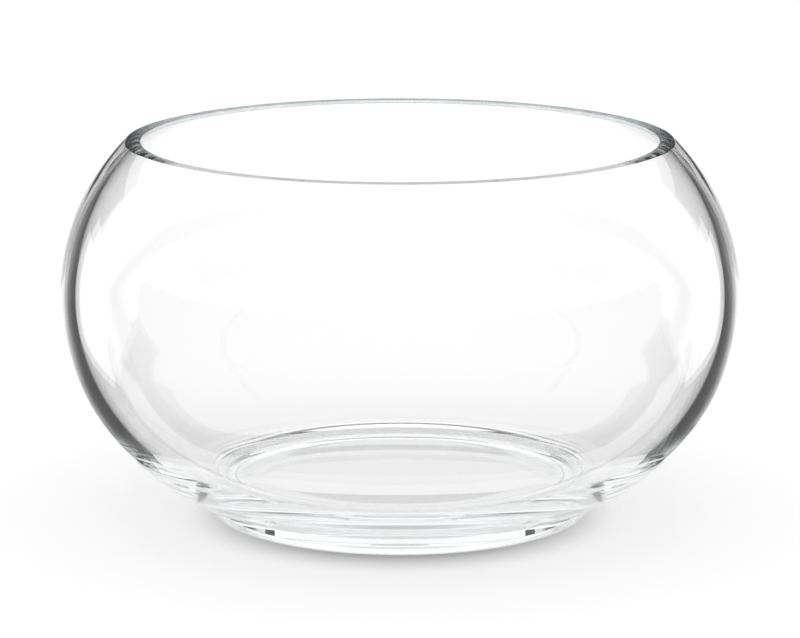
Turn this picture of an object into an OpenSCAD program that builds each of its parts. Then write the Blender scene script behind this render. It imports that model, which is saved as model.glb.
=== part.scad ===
// Round crystallizing bowl: one piece of thick clear glass with a flat-cut rim,
// a bellied body, a heavy base and a low disc foot. Millimetres, +Z up, and the
// origin is at the middle of the circle that the foot stands on.

/* [Body] */
// Height from the table to the flat of the rim
height = 144; // [120:1:174]
// Diameter at the widest line of the belly
body_d = 260; // [216:1:320]
// Height of the widest line above the table
belly_z = 84; // [70:1:100]
// Outer diameter of the rim
mouth_d = 208.8; // [168:0.1:214]
// Radius of the outline just under the widest line
belly_r = 81; // [67:0.5:98]
// Radius of the heel, which brings the outline in above the foot
heel_r = 32; // [26:0.5:39]

/* [Foot] */
// Diameter of the disc foot
foot_d = 145.2; // [120:0.1:174]
// Height of the disc foot
foot_h = 7; // [5.5:0.1:8.5]
// Radius of the foot's lower edge
foot_edge_r = 1.2; // [0.6:0.1:2]
// Width of the ring around the recess under the foot, halfway up its sloping wall
ring_w = 6.3; // [4:0.1:12]
// Depth of the recess under the foot
recess_h = 1; // [0.6:0.1:2]

/* [Glass] */
// Wall thickness at the widest line
wall = 5.6; // [4.6:0.1:7]
// Width of the cut rim between its two edges
rim_w = 6; // [5:0.1:7.2]
// Width of the ground bevel on each edge of the rim
rim_bevel = 0.5; // [0.3:0.1:0.8]
// Thickness of the glass from the table to the inner floor
floor_z = 10; // [8.4:0.1:13]
// Radius of the inner outline just under the widest line
inner_belly_r = 75.5; // [62:0.5:92]

/* [Hidden] */
$fn = 240;

body_r = body_d / 2;
mouth_r = mouth_d / 2;
foot_r = foot_d / 2;
recess_r = foot_r - ring_w;
inner_r = body_r - wall;
// How far a cutting shape runs past the surface that it cuts
past = 5;
// How far neighbouring stretches of an outline lap over their joint
lap = 0.2;
// Directions square to the outline where its arcs meet, as [outwards, upwards]:
// the belly gives way to the base, and the base to the heel. They are the two
// slopes of a 3-4-5 triangle, so the joints fall on round numbers.
to_base = [0.8, -0.6];
to_heel = [0.6, -0.8];
to_floor = [0, -1];
// Steepest slope of the bevel on the outer edge of the rim, whose corner is a wide one
steepest_bevel = 0.4;

// Radius of an arc that starts upright and comes in by dr over a height dz
function upright_arc_r(dr, dz) = (dr * dr + dz * dz) / (2 * dr);
// Radius that takes an arc from height z0 down to z1, between two directions
function falling_arc_r(z0, z1, from, to) = (z0 - z1) / (from[1] - to[1]);

// Outside above the widest line: one arc that comes in to the rim
shoulder_r = upright_arc_r(body_r - mouth_r, height - belly_z);
shoulder_c = [body_r - shoulder_r, belly_z];
// Slope of the shoulder at the rim, which the bevel there has to stay well short of
rim_slope = (mouth_r - shoulder_c[0]) / (height - belly_z);
outer_bevel_slope = min(steepest_bevel, rim_slope / 2);
// Outside below it: belly, base and heel arcs, each tangent to the next, down to
// the top of the foot, which the heel meets level
belly_c = [body_r - belly_r, belly_z];
belly_end = belly_c + belly_r * to_base;
heel_start_z = foot_h + heel_r * (1 + to_heel[1]);
base_r = falling_arc_r(belly_end[1], heel_start_z, to_base, to_heel);
base_c = belly_end - base_r * to_base;
heel_c = base_c + (base_r - heel_r) * to_heel;

// Inside above the widest line: one arc that comes in to the rim's inner edge
inner_shoulder_r = upright_arc_r(inner_r - (mouth_r - rim_w), height - belly_z);
inner_shoulder_c = [inner_r - inner_shoulder_r, belly_z];
// Inside below it: an arc, then a tangent one that ends level at the floor
inner_belly_c = [inner_r - inner_belly_r, belly_z];
inner_belly_end = inner_belly_c + inner_belly_r * to_base;
inner_base_r = falling_arc_r(inner_belly_end[1], floor_z, to_base, to_floor);
inner_base_c = inner_belly_end - inner_base_r * to_base;

// What lies between the axis and an arc of radius r about c, from z0 up to z1
module inside_arc(c, r, z0, z1) {
    intersection() {
        union() {
            translate(c) circle(r);
            translate([0, z0]) square([max(c[0], past), z1 - z0]);
        }
        translate([0, z0]) square([body_d, z1 - z0]);
    }
}

// Outer outline, from the axis out to the skin of the glass
module outer_outline() {
    inside_arc(shoulder_c, shoulder_r, belly_z, height);
    inside_arc(belly_c, belly_r, belly_end[1] - lap, belly_z + lap);
    inside_arc(base_c, base_r, heel_start_z, belly_end[1]);
    inside_arc(heel_c, heel_r, foot_h, heel_start_z + lap);
    square([foot_r, foot_h]);
    translate([0, foot_h - lap]) square([min(foot_r, heel_c[0]), 2 * lap]);
}

// Inner outline, open through the mouth
module cavity_outline() {
    inside_arc(inner_shoulder_c, inner_shoulder_r, belly_z, height + past);
    inside_arc(inner_belly_c, inner_belly_r, inner_belly_end[1], belly_z + lap);
    inside_arc(inner_base_c, inner_base_r, floor_z, inner_belly_end[1] + lap);
}

// Flat recess under the foot, so that it stands on its outer ring. Its wall rises
// inwards at 45 degrees, as a pressed recess does.
module recess_outline() {
    ceiling_r = recess_r - recess_h / 2;
    polygon([
        [0, recess_h],
        [ceiling_r, recess_h],
        [ceiling_r + recess_h + past, -past],
        [0, -past]
    ]);
}

// Bevels both edges of the cut rim: the inner one, which is sharp, upright, and
// the outer one, which is blunt, at a low slope
module rim_bevels() {
    translate([0, belly_z]) square([mouth_r - rim_w + rim_bevel, height + past - belly_z]);
    translate([mouth_r - rim_bevel, height])
        polygon([[0, 0], [past, -past * outer_bevel_slope], [past, past], [0, past]]);
}

// What rounds the lower edge of the foot
module foot_edge() {
    translate([foot_r - foot_edge_r, 0])
    difference() {
        translate([0, -past]) square([foot_edge_r + past, foot_edge_r + past]);
        translate([0, foot_edge_r]) circle(foot_edge_r);
    }
}

module bowl() {
    color([0.86, 0.92, 0.93, 0.35])
    rotate_extrude() {
        difference() {
            outer_outline();
            cavity_outline();
            recess_outline();
            rim_bevels();
            foot_edge();
        }
    }
}

bowl();
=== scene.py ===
"""A round crystallizing bowl of thick clear glass, standing on a white studio table.

The bowl is one blown and pressed piece, so it is one mesh: its section is drawn once,
arc after arc, and turned about the upright axis. Metres, +Z up.
"""

import math

import bmesh
import bpy
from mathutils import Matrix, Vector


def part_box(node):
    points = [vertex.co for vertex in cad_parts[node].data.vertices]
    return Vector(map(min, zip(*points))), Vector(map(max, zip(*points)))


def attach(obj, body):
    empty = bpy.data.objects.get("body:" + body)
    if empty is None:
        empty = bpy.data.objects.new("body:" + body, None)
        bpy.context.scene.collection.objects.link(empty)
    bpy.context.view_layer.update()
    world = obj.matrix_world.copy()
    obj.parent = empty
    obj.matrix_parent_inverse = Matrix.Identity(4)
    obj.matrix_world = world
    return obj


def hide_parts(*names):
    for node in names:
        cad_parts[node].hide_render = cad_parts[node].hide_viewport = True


MM = 0.001

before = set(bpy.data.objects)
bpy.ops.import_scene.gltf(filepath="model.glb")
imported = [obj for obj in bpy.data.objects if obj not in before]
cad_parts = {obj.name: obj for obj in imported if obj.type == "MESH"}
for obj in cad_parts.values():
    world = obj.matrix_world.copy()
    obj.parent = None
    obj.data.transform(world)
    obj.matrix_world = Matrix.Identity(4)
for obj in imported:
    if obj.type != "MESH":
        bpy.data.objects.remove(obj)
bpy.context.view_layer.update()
BOWL_LOW, BOWL_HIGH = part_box("bowl")

# ------------------------------------------------------------------ sizes
# The overall sizes come from the frame, and the rest is the section of the glass.
HEIGHT = BOWL_HIGH.z
BODY_R = BOWL_HIGH.x
BELLY_Z = 84 * MM
MOUTH_R = 104.4 * MM
BELLY_ARC_R = 81 * MM
HEEL_ARC_R = 32 * MM

FOOT_R = 72.6 * MM
FOOT_H = 7 * MM
FOOT_EDGE_R = 1.2 * MM
RECESS_R = 66.3 * MM
RECESS_H = 1 * MM

WALL = 5.6 * MM
RIM_W = 6 * MM
FLOOR_Z = 10 * MM
INNER_BELLY_ARC_R = 75.5 * MM

# How far the fire-polished corners are rounded off, along each of their two sides
RIM_ROUND = 0.45 * MM
RECESS_ROUND = 0.5 * MM
HEEL_ROUND = 0.4 * MM

# Slopes at which one arc of the section gives way to the next, from the level
TO_BASE = math.atan2(0.6, 0.8)
TO_HEEL = math.atan2(0.8, 0.6)
STRAIGHT_DOWN = math.pi / 2

# Length of one step along an arc, steps in a rounded corner, and steps about the axis
ARC_STEP = 2.2 * MM
CORNER_STEPS = 4
TURN_STEPS = 288


# ------------------------------------------------------------------ section
def falling_arc_r(drop, start, end):
    """Radius of an arc that falls by drop between two slopes."""
    return drop / (math.sin(end) - math.sin(start))


def upright_arc_r(inwards, rise):
    """Radius of an arc that starts upright and comes inwards over a rise."""
    return (inwards**2 + rise**2) / (2 * inwards)


def straight(section, vert, r, z):
    """Carries the section on from vert by a straight stretch."""
    end = section.verts.new((r, 0, z))
    section.edges.new((vert, end))
    return end


def arc(section, vert, radius, slope, turn):
    """Carries the section on from vert along an arc, by swinging vert about its centre.

    slope is how far below the level the outward direction at vert points, and turn is
    how far the arc goes on, anticlockwise where it is positive.
    """
    centre = (vert.co.x - radius * math.cos(slope), 0, vert.co.z + radius * math.sin(slope))
    steps = max(4, math.ceil(radius * abs(turn) / ARC_STEP))
    swung = bmesh.ops.spin(
        section, geom=[vert], cent=centre, axis=(0, -1, 0), angle=turn, steps=steps
    )
    return next(v for v in swung["geom_last"] if isinstance(v, bmesh.types.BMVert))


def underside(section):
    """The recess and the standing ring, out to the side of the foot."""
    vert = section.verts.new((0, 0, RECESS_H))
    ceiling = vert = straight(section, vert, RECESS_R - RECESS_H / 2, RECESS_H)
    ring = vert = straight(section, vert, RECESS_R + RECESS_H / 2, 0)
    vert = straight(section, vert, FOOT_R - FOOT_EDGE_R, 0)
    vert = arc(section, vert, FOOT_EDGE_R, STRAIGHT_DOWN, math.pi / 2)
    corner = straight(section, vert, FOOT_R, FOOT_H)
    return corner, [(ceiling, RECESS_ROUND), (ring, RECESS_ROUND), (corner, HEEL_ROUND)]


def outside(section, vert):
    """Heel, base, belly and shoulder, from the top of the foot up to the rim."""
    belly_end_z = BELLY_Z - BELLY_ARC_R * math.sin(TO_BASE)
    heel_start_z = FOOT_H + HEEL_ARC_R * (1 - math.sin(TO_HEEL))
    base_arc_r = falling_arc_r(belly_end_z - heel_start_z, TO_BASE, TO_HEEL)
    vert = arc(section, vert, HEEL_ARC_R, STRAIGHT_DOWN, STRAIGHT_DOWN - TO_HEEL)
    vert = arc(section, vert, base_arc_r, TO_HEEL, TO_HEEL - TO_BASE)
    vert = arc(section, vert, BELLY_ARC_R, TO_BASE, TO_BASE)
    rise = HEIGHT - BELLY_Z
    shoulder_r = upright_arc_r(BODY_R - MOUTH_R, rise)
    return arc(section, vert, shoulder_r, 0, math.asin(rise / shoulder_r))


def inside(section, vert):
    """Inner shoulder, belly and base, from the rim down to the middle of the floor."""
    inner_r = BODY_R - WALL
    rise = HEIGHT - BELLY_Z
    shoulder_r = upright_arc_r(inner_r - (MOUTH_R - RIM_W), rise)
    slope = math.asin(rise / shoulder_r)
    vert = arc(section, vert, shoulder_r, -slope, -slope)
    vert = arc(section, vert, INNER_BELLY_ARC_R, 0, -TO_BASE)
    belly_end_z = BELLY_Z - INNER_BELLY_ARC_R * math.sin(TO_BASE)
    base_arc_r = falling_arc_r(belly_end_z - FLOOR_Z, TO_BASE, STRAIGHT_DOWN)
    vert = arc(section, vert, base_arc_r, TO_BASE, TO_BASE - STRAIGHT_DOWN)
    return straight(section, vert, 0, FLOOR_Z)


def round_corners(section, corners):
    """Rounds each corner of the section by its own amount."""
    for vert, amount in corners:
        bmesh.ops.bevel(
            section,
            geom=[vert],
            offset=amount,
            offset_type="OFFSET",
            segments=CORNER_STEPS,
            profile=0.5,
            affect="VERTICES",
            material=-1,
        )


def make_bowl():
    """Draws the section, rounds its corners and turns it about the upright axis."""
    glass = bmesh.new()
    foot_top, corners = underside(glass)
    rim_outside = outside(glass, foot_top)
    rim_inside = straight(glass, rim_outside, MOUTH_R - RIM_W, HEIGHT)
    inside(glass, rim_inside)
    round_corners(glass, corners + [(rim_outside, RIM_ROUND), (rim_inside, RIM_ROUND)])
    bmesh.ops.spin(
        glass,
        geom=glass.verts[:] + glass.edges[:],
        cent=(0, 0, 0),
        axis=(0, 0, 1),
        angle=2 * math.pi,
        steps=TURN_STEPS,
        use_merge=True,
    )
    bmesh.ops.remove_doubles(glass, verts=glass.verts, dist=0.001 * MM)
    bmesh.ops.recalc_face_normals(glass, faces=glass.faces)
    for face in glass.faces:
        face.smooth = True
    mesh = bpy.data.meshes.new("glass_bowl")
    glass.to_mesh(mesh)
    glass.free()
    bowl = bpy.data.objects.new("glass_bowl", mesh)
    bpy.context.scene.collection.objects.link(bowl)
    # Flat faces stay flat right up to their rounded corners
    bowl.modifiers.new("Flat faces", "WEIGHTED_NORMAL").weight = 100
    return bowl


# ------------------------------------------------------------------ materials
GLASS_IOR = 1.52
DEPTH_TINT = (0.80, 0.90, 0.92, 1.0)
DEPTH_DENSITY = 1.2
WAVE_SCALE = 22.0
WAVE_DEPTH = 0.03 * MM
SCUFF_SCALE = 900.0
SCUFFED_Z = (0.1 * MM, 0.6 * MM)
SCUFF_ROUGHNESS = (0.02, 0.35)


def link(tree, out, into):
    tree.links.new(out, into)


def noise(tree, where, scale, detail, roughness):
    node = tree.nodes.new("ShaderNodeTexNoise")
    node.inputs["Scale"].default_value = scale
    node.inputs["Detail"].default_value = detail
    node.inputs["Roughness"].default_value = roughness
    link(tree, where, node.inputs["Vector"])
    return node.outputs["Fac"]


def remap(tree, value, low, high, to_low, to_high):
    """Carries value from the range low..high to to_low..to_high, and stops at both ends."""
    node = tree.nodes.new("ShaderNodeMapRange")
    for name, number in (
        ("From Min", low),
        ("From Max", high),
        ("To Min", to_low),
        ("To Max", to_high),
    ):
        node.inputs[name].default_value = number
    link(tree, value, node.inputs["Value"])
    return node.outputs["Result"]


def maths(tree, operation, first, second):
    node = tree.nodes.new("ShaderNodeMath")
    node.operation = operation
    for socket, given in zip(node.inputs, (first, second)):
        if isinstance(given, (int, float)):
            socket.default_value = given
        else:
            link(tree, given, socket)
    return node.outputs["Value"]


def bump(tree, height, distance):
    node = tree.nodes.new("ShaderNodeBump")
    node.inputs["Strength"].default_value = 1.0
    node.inputs["Distance"].default_value = distance
    link(tree, height, node.inputs["Height"])
    return node.outputs["Normal"]


def clear_glass():
    """Soda-lime glass: faintly green in its depth, fire-polished, softly uneven where it
    was blown, and rubbed a little on the ring that it stands on."""
    material = bpy.data.materials.new("clear_glass")
    material.use_nodes = True
    tree = material.node_tree
    shader = tree.nodes["Principled BSDF"]
    shader.inputs["Base Color"].default_value = (1.0, 1.0, 1.0, 1.0)
    shader.inputs["IOR"].default_value = GLASS_IOR
    shader.inputs["Transmission Weight"].default_value = 1.0

    place = tree.nodes.new("ShaderNodeTexCoord").outputs["Object"]
    split = tree.nodes.new("ShaderNodeSeparateXYZ")
    link(tree, place, split.inputs["Vector"])
    height = split.outputs["Z"]

    # Standing ring: fine scuffs, only in the lowest half millimetre
    on_ring = remap(tree, height, *SCUFFED_Z, 1.0, 0.0)
    scuffs = noise(tree, place, SCUFF_SCALE, detail=4.0, roughness=0.7)
    scuffs = remap(tree, scuffs, 0.45, 0.7, *SCUFF_ROUGHNESS)
    rubbed = maths(tree, "MULTIPLY", on_ring, scuffs)
    link(tree, rubbed, shader.inputs["Roughness"])

    # Slow waves of the blown wall
    waves = noise(tree, place, WAVE_SCALE, detail=1.0, roughness=0.4)
    link(tree, bump(tree, waves, WAVE_DEPTH), shader.inputs["Normal"])

    depth = tree.nodes.new("ShaderNodeVolumeAbsorption")
    depth.inputs["Color"].default_value = DEPTH_TINT
    depth.inputs["Density"].default_value = DEPTH_DENSITY
    link(tree, depth.outputs["Volume"], tree.nodes["Material Output"].inputs["Volume"])
    return material


# ------------------------------------------------------------------ studio
TABLE_HALF = 6.0
TABLE_GAP = 0.05 * MM
TABLE_WHITE = 0.35
TABLE_GLOW = 0.64

# Painted contact shadow of the foot on the table, darkening its glow, whose middle lies a
# little to the front.
# It fades out between the two radii, and starts where the foot ends.
SHADE_SHIFT = 14 * MM
SHADE_REACH = (58 * MM, 84 * MM)
SHADE_START = (FOOT_R - 1 * MM, FOOT_R + 0.5 * MM)
SHADE_FALL = 1.5
SHADE_DEPTH = 0.8

# Strength of the room's light up to this height of its dome, and overhead
SKY_RISE = 0.3
SKY_STRENGTHS = (1.02, 1.3)

# Side flags: the flap on the table, inner edge then outer edge, for the right side. The
# cloth pales inwards of a slanting line, and away from the bowl.
FLAG_INNER = ((0.105, -0.02), (0.118, 0.04), (0.15, 0.12), (0.2, 0.2), (0.32, 0.55))
FLAG_OUTER = ((0.62, 0.55), (0.3, 0.15), (0.2, -0.02))
FLAG_H = 0.18
FLAG_SLANT = 0.45
FLAG_FADE_OUT = (0.11, 0.15)
FLAG_FADE_BACK = (0.12, 0.3)
FLAG_LEVELS = (0.1, 0.75)

FRONT_FLAG_R = (0.12, 0.6)
FRONT_FLAG_LEVEL = 0.35
FRONT_FLAG_STEPS = 48

# Cards behind the bowl: distance, first and last degree anticlockwise from straight
# behind, heights of the lower and upper edge, and grey level
CARDS = {
    "rim_card": (0.5, -32, 32, 0.19, 0.32, 0.12),
    "foot_card": (0.9, -30, 30, 0.08, 0.14, 0.2),
    "left_card": (0.9, 28, 55, 0.18, 0.42, 0.05),
    "right_card": (0.9, -55, -28, 0.18, 0.42, 0.05),
}
CARD_STEPS = 16

CAMERA_LENS = 152.9
CAMERA_PLACE = (0.0, -1.280, 0.3474)
CAMERA_DOWN = math.radians(12.077)
GLASS_BOUNCES = 48
DIFFUSE_BOUNCES = 6


def stage_piece(name, shape, material):
    """Turns a bmesh into a piece of the studio, which isn't part of the object."""
    mesh = bpy.data.meshes.new(name)
    shape.to_mesh(mesh)
    shape.free()
    mesh.materials.append(material)
    piece = bpy.data.objects.new(name, mesh)
    bpy.context.scene.collection.objects.link(piece)
    return piece


def distance_from(tree, place, x, y):
    """Distance on the table from the point x, y."""
    node = tree.nodes.new("ShaderNodeVectorMath")
    node.operation = "DISTANCE"
    node.inputs[1].default_value = (x, y, -TABLE_GAP)
    link(tree, place, node.inputs[0])
    return node.outputs["Value"]


def white_table():
    """Matt white table top, which glows a little, as a lit acrylic sheet does, and has a
    contact shadow painted into its glow close to the front of the foot."""
    sheet = bmesh.new()
    bmesh.ops.create_grid(sheet, x_segments=1, y_segments=1, size=TABLE_HALF)
    bmesh.ops.translate(sheet, verts=sheet.verts, vec=(0, 0, -TABLE_GAP))
    material = bpy.data.materials.new("white_table")
    material.use_nodes = True
    tree = material.node_tree
    shader = tree.nodes["Principled BSDF"]
    shader.inputs["Base Color"].default_value = (TABLE_WHITE, TABLE_WHITE, TABLE_WHITE, 1.0)
    shader.inputs["Roughness"].default_value = 1.0
    shader.inputs["Specular IOR Level"].default_value = 0.0
    shader.inputs["Emission Color"].default_value = (1.0, 1.0, 1.0, 1.0)
    place = tree.nodes.new("ShaderNodeTexCoord").outputs["Object"]
    # Painted contact shadow: the glow is darkened near the foot by distance alone, not by
    # light
    outside = remap(tree, distance_from(tree, place, 0.0, 0.0), *SHADE_START, 0.0, 1.0)
    reach = remap(tree, distance_from(tree, place, 0.0, -SHADE_SHIFT), *SHADE_REACH, 1.0, 0.0)
    painted_shade = maths(tree, "MULTIPLY", maths(tree, "POWER", reach, SHADE_FALL), outside)
    glow_with_painted_shade = remap(tree, painted_shade, 0.0, 1.0, TABLE_GLOW, TABLE_GLOW * (1 - SHADE_DEPTH))
    link(tree, glow_with_painted_shade, shader.inputs["Emission Strength"])
    stage_piece("table", sheet, material)


def flag_cloth(name, level):
    """Dark cloth that only the mirrored light in the glass shows, so that it draws the
    edges of the bowl and isn't seen straight through the walls. Gives the material, and
    the socket that sets how pale the cloth is."""
    material = bpy.data.materials.new(name)
    material.use_nodes = True
    tree = material.node_tree
    tree.nodes.remove(tree.nodes["Principled BSDF"])
    cloth = tree.nodes.new("ShaderNodeEmission")
    cloth.inputs["Strength"].default_value = level
    mirrored = tree.nodes.new("ShaderNodeLightPath").outputs["Glossy Depth"]
    mix = tree.nodes.new("ShaderNodeMixShader")
    link(tree, maths(tree, "GREATER_THAN", mirrored, 0.5), mix.inputs["Fac"])
    link(tree, tree.nodes.new("ShaderNodeBsdfTransparent").outputs["BSDF"], mix.inputs[1])
    link(tree, cloth.outputs["Emission"], mix.inputs[2])
    link(tree, mix.outputs["Shader"], tree.nodes["Material Output"].inputs["Surface"])
    return material, cloth.inputs["Strength"]


def hang(name, shape, material):
    """Puts up a flag, which neither the viewer nor the table sees."""
    piece = stage_piece(name, shape, material)
    piece.visible_camera = False
    piece.visible_diffuse = False
    piece.visible_shadow = False


def side_cloth():
    """Cloth of the side flags: darkest close to the bowl and far out to the side, and pale
    where it comes in towards the middle of the picture."""
    material, paleness = flag_cloth("side_flag", 1.0)
    tree = material.node_tree
    split = tree.nodes.new("ShaderNodeSeparateXYZ")
    link(tree, tree.nodes.new("ShaderNodeTexCoord").outputs["Object"], split.inputs["Vector"])
    aside = maths(tree, "ABSOLUTE", split.outputs["X"], 0.0)
    slant = maths(tree, "MULTIPLY", split.outputs["Y"], FLAG_SLANT)
    outwards = remap(tree, maths(tree, "SUBTRACT", aside, slant), *FLAG_FADE_OUT, 1.0, 0.0)
    backwards = remap(tree, split.outputs["Y"], *FLAG_FADE_BACK, 0.0, 1.0)
    pale = maths(tree, "MULTIPLY", outwards, backwards)
    link(tree, remap(tree, pale, 0.0, 1.0, *FLAG_LEVELS), paleness)
    return material


def side_flag(name, side, material):
    """A dark flag beside the bowl: a flap on the table and a low wall at its far end.
    side is 1 on the right, -1 on the left."""
    flag = bmesh.new()
    flap = [flag.verts.new((side * x, y, 0)) for x, y in (*FLAG_INNER, *FLAG_OUTER)]
    flag.faces.new(flap)
    far_end = flap[len(FLAG_INNER) - 1], flap[len(FLAG_INNER)]
    top = [flag.verts.new((end.co.x, end.co.y, FLAG_H)) for end in far_end]
    flag.faces.new((*far_end, *reversed(top)))
    hang(name, flag, material)


def back_card(name, distance, start, end, low, high, level):
    """A dark card bent round the back of the bowl, clear of the table."""
    card = bmesh.new()
    first = math.radians(90 + start)
    edge = [
        card.verts.new((distance * math.cos(first), distance * math.sin(first), z))
        for z in (low, high)
    ]
    bmesh.ops.spin(
        card,
        geom=[*edge, card.edges.new(edge)],
        cent=(0, 0, 0),
        axis=(0, 0, 1),
        angle=math.radians(end - start),
        steps=CARD_STEPS,
    )
    material, _ = flag_cloth(name, level)
    hang(name, card, material)


def front_flag():
    """A dark flag bent round the front of the bowl: a flap on the table, and a low wall
    on its outer edge."""
    flag = bmesh.new()
    near, far = FRONT_FLAG_R
    section = [flag.verts.new((-r, 0, z)) for r, z in ((near, 0), (far, 0), (far, FLAG_H))]
    bmesh.ops.spin(
        flag,
        geom=section + [flag.edges.new(pair) for pair in zip(section, section[1:])],
        cent=(0, 0, 0),
        axis=(0, 0, 1),
        angle=math.pi,
        steps=FRONT_FLAG_STEPS,
    )
    material, _ = flag_cloth("front_flag", FRONT_FLAG_LEVEL)
    hang("front_flag", flag, material)


def studio_light():
    """A white room of soft light, a little brighter overhead."""
    world = bpy.data.worlds.new("studio")
    bpy.context.scene.world = world
    world.use_nodes = True
    tree = world.node_tree
    split = tree.nodes.new("ShaderNodeSeparateXYZ")
    direction = tree.nodes.new("ShaderNodeTexCoord").outputs["Generated"]
    link(tree, direction, split.inputs["Vector"])
    strength = remap(tree, split.outputs["Z"], SKY_RISE, 1.0, *SKY_STRENGTHS)
    link(tree, strength, tree.nodes["Background"].inputs["Strength"])
    tree.nodes["Background"].inputs["Color"].default_value = (1.0, 1.0, 1.0, 1.0)


def camera():
    """Looks a little down on the bowl, from the front."""
    lens = bpy.data.cameras.new("camera")
    lens.lens = CAMERA_LENS
    lens.sensor_width = 36.0
    lens.clip_start = 0.05
    lens.clip_end = 50.0
    viewer = bpy.data.objects.new("camera", lens)
    viewer.location = CAMERA_PLACE
    viewer.rotation_euler = (math.pi / 2 - CAMERA_DOWN, 0.0, 0.0)
    bpy.context.scene.collection.objects.link(viewer)
    bpy.context.scene.camera = viewer


def light_paths():
    """Lets light pass through all the walls of the glass, and keeps whites white."""
    cycles = bpy.context.scene.cycles
    cycles.max_bounces = GLASS_BOUNCES
    cycles.transmission_bounces = GLASS_BOUNCES
    cycles.glossy_bounces = GLASS_BOUNCES
    cycles.diffuse_bounces = DIFFUSE_BOUNCES
    bpy.context.scene.view_settings.view_transform = "Standard"


# ------------------------------------------------------------------ the bowl on its table
camera()
studio_light()
light_paths()
white_table()
dark_flag = side_cloth()
side_flag("right_flag", 1, dark_flag)
side_flag("left_flag", -1, dark_flag)
front_flag()
for card_name, sizes in CARDS.items():
    back_card(card_name, *sizes)

bowl = make_bowl()
bowl.data.materials.append(clear_glass())
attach(bowl, "root")
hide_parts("bowl")
